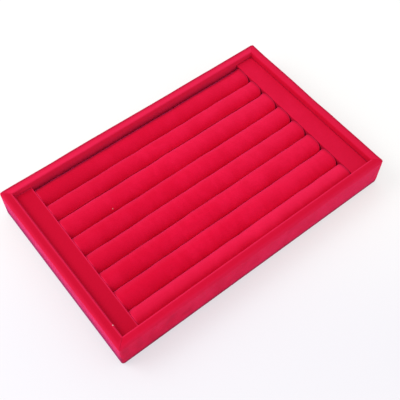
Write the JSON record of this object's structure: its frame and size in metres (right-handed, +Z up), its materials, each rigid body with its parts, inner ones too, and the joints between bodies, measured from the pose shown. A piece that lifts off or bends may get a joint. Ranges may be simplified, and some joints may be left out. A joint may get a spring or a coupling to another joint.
{
  "type": "ring display tray",
  "caption": "Shallow rectangular velvet tray with a soft raised rim, a row of padded rolls that hold rings in the grooves between them, and a flat bar at each end.",
  "frame": {"origin": "centre of the underside, on the surface that the tray stands on", "axes": "+X along the rolls and the long sides, +Y towards the back long side, +Z up out of the open top"},
  "size_m": [0.225, 0.1418, 0.0255],
  "materials": {
    "velvet": "matte",
    "lining": "matte",
    "board": "matte",
    "card": "matte",
    "foam": "matte",
    "pin_steel": "satin"
  },
  "bodies": {
    "root": {"frame_velvet": "velvet", "underside_lining": "lining", "base_board": "board", "rail_front": "board", "rail_back": "board", "rail_left": "board", "rail_right": "board", "corner_pins": "pin_steel", "base_pins": "pin_steel", "insert_card": "card", "end_bar_velvet_left": "velvet", "end_bar_velvet_right": "velvet", "end_bar_core_left": "board", "end_bar_core_right": "board", "roll_sleeve_1": "velvet", "roll_sleeve_2": "velvet", "roll_sleeve_3": "velvet", "roll_sleeve_4": "velvet", "roll_sleeve_5": "velvet", "roll_sleeve_6": "velvet", "roll_sleeve_7": "velvet", "roll_sleeve_8": "velvet", "roll_core_1": "foam", "roll_core_2": "foam", "roll_core_3": "foam", "roll_core_4": "foam", "roll_core_5": "foam", "roll_core_6": "foam", "roll_core_7": "foam", "roll_core_8": "foam"}
  },
  "joints": []
}
